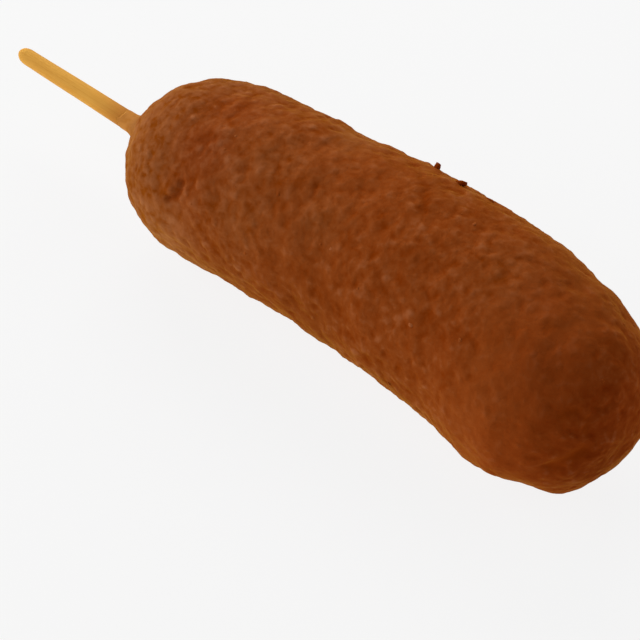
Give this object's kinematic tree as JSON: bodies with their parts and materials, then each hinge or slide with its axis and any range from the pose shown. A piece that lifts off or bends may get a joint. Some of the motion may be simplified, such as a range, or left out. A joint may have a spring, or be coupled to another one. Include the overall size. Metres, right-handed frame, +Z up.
{
  "type": "corn dog",
  "caption": "Fried corn dog lying on its side: a thick browned cornmeal batter coat, round at both ends, on a round wooden stick.",
  "frame": {"origin": "middle of the whole part's footprint, on the surface that it lies on", "axes": "+Z up; the part lies along X, with the stick's tip towards -X and the coat's round end towards +X"},
  "size_m": [0.184, 0.049, 0.0446],
  "materials": {
    "crust": "rough fried crust with a slight oily sheen",
    "wood": "plain smooth birch, darker where the oil has soaked in"
  },
  "bodies": {
    "root": {"coat": "crust", "stick": "wood"}
  },
  "joints": []
}
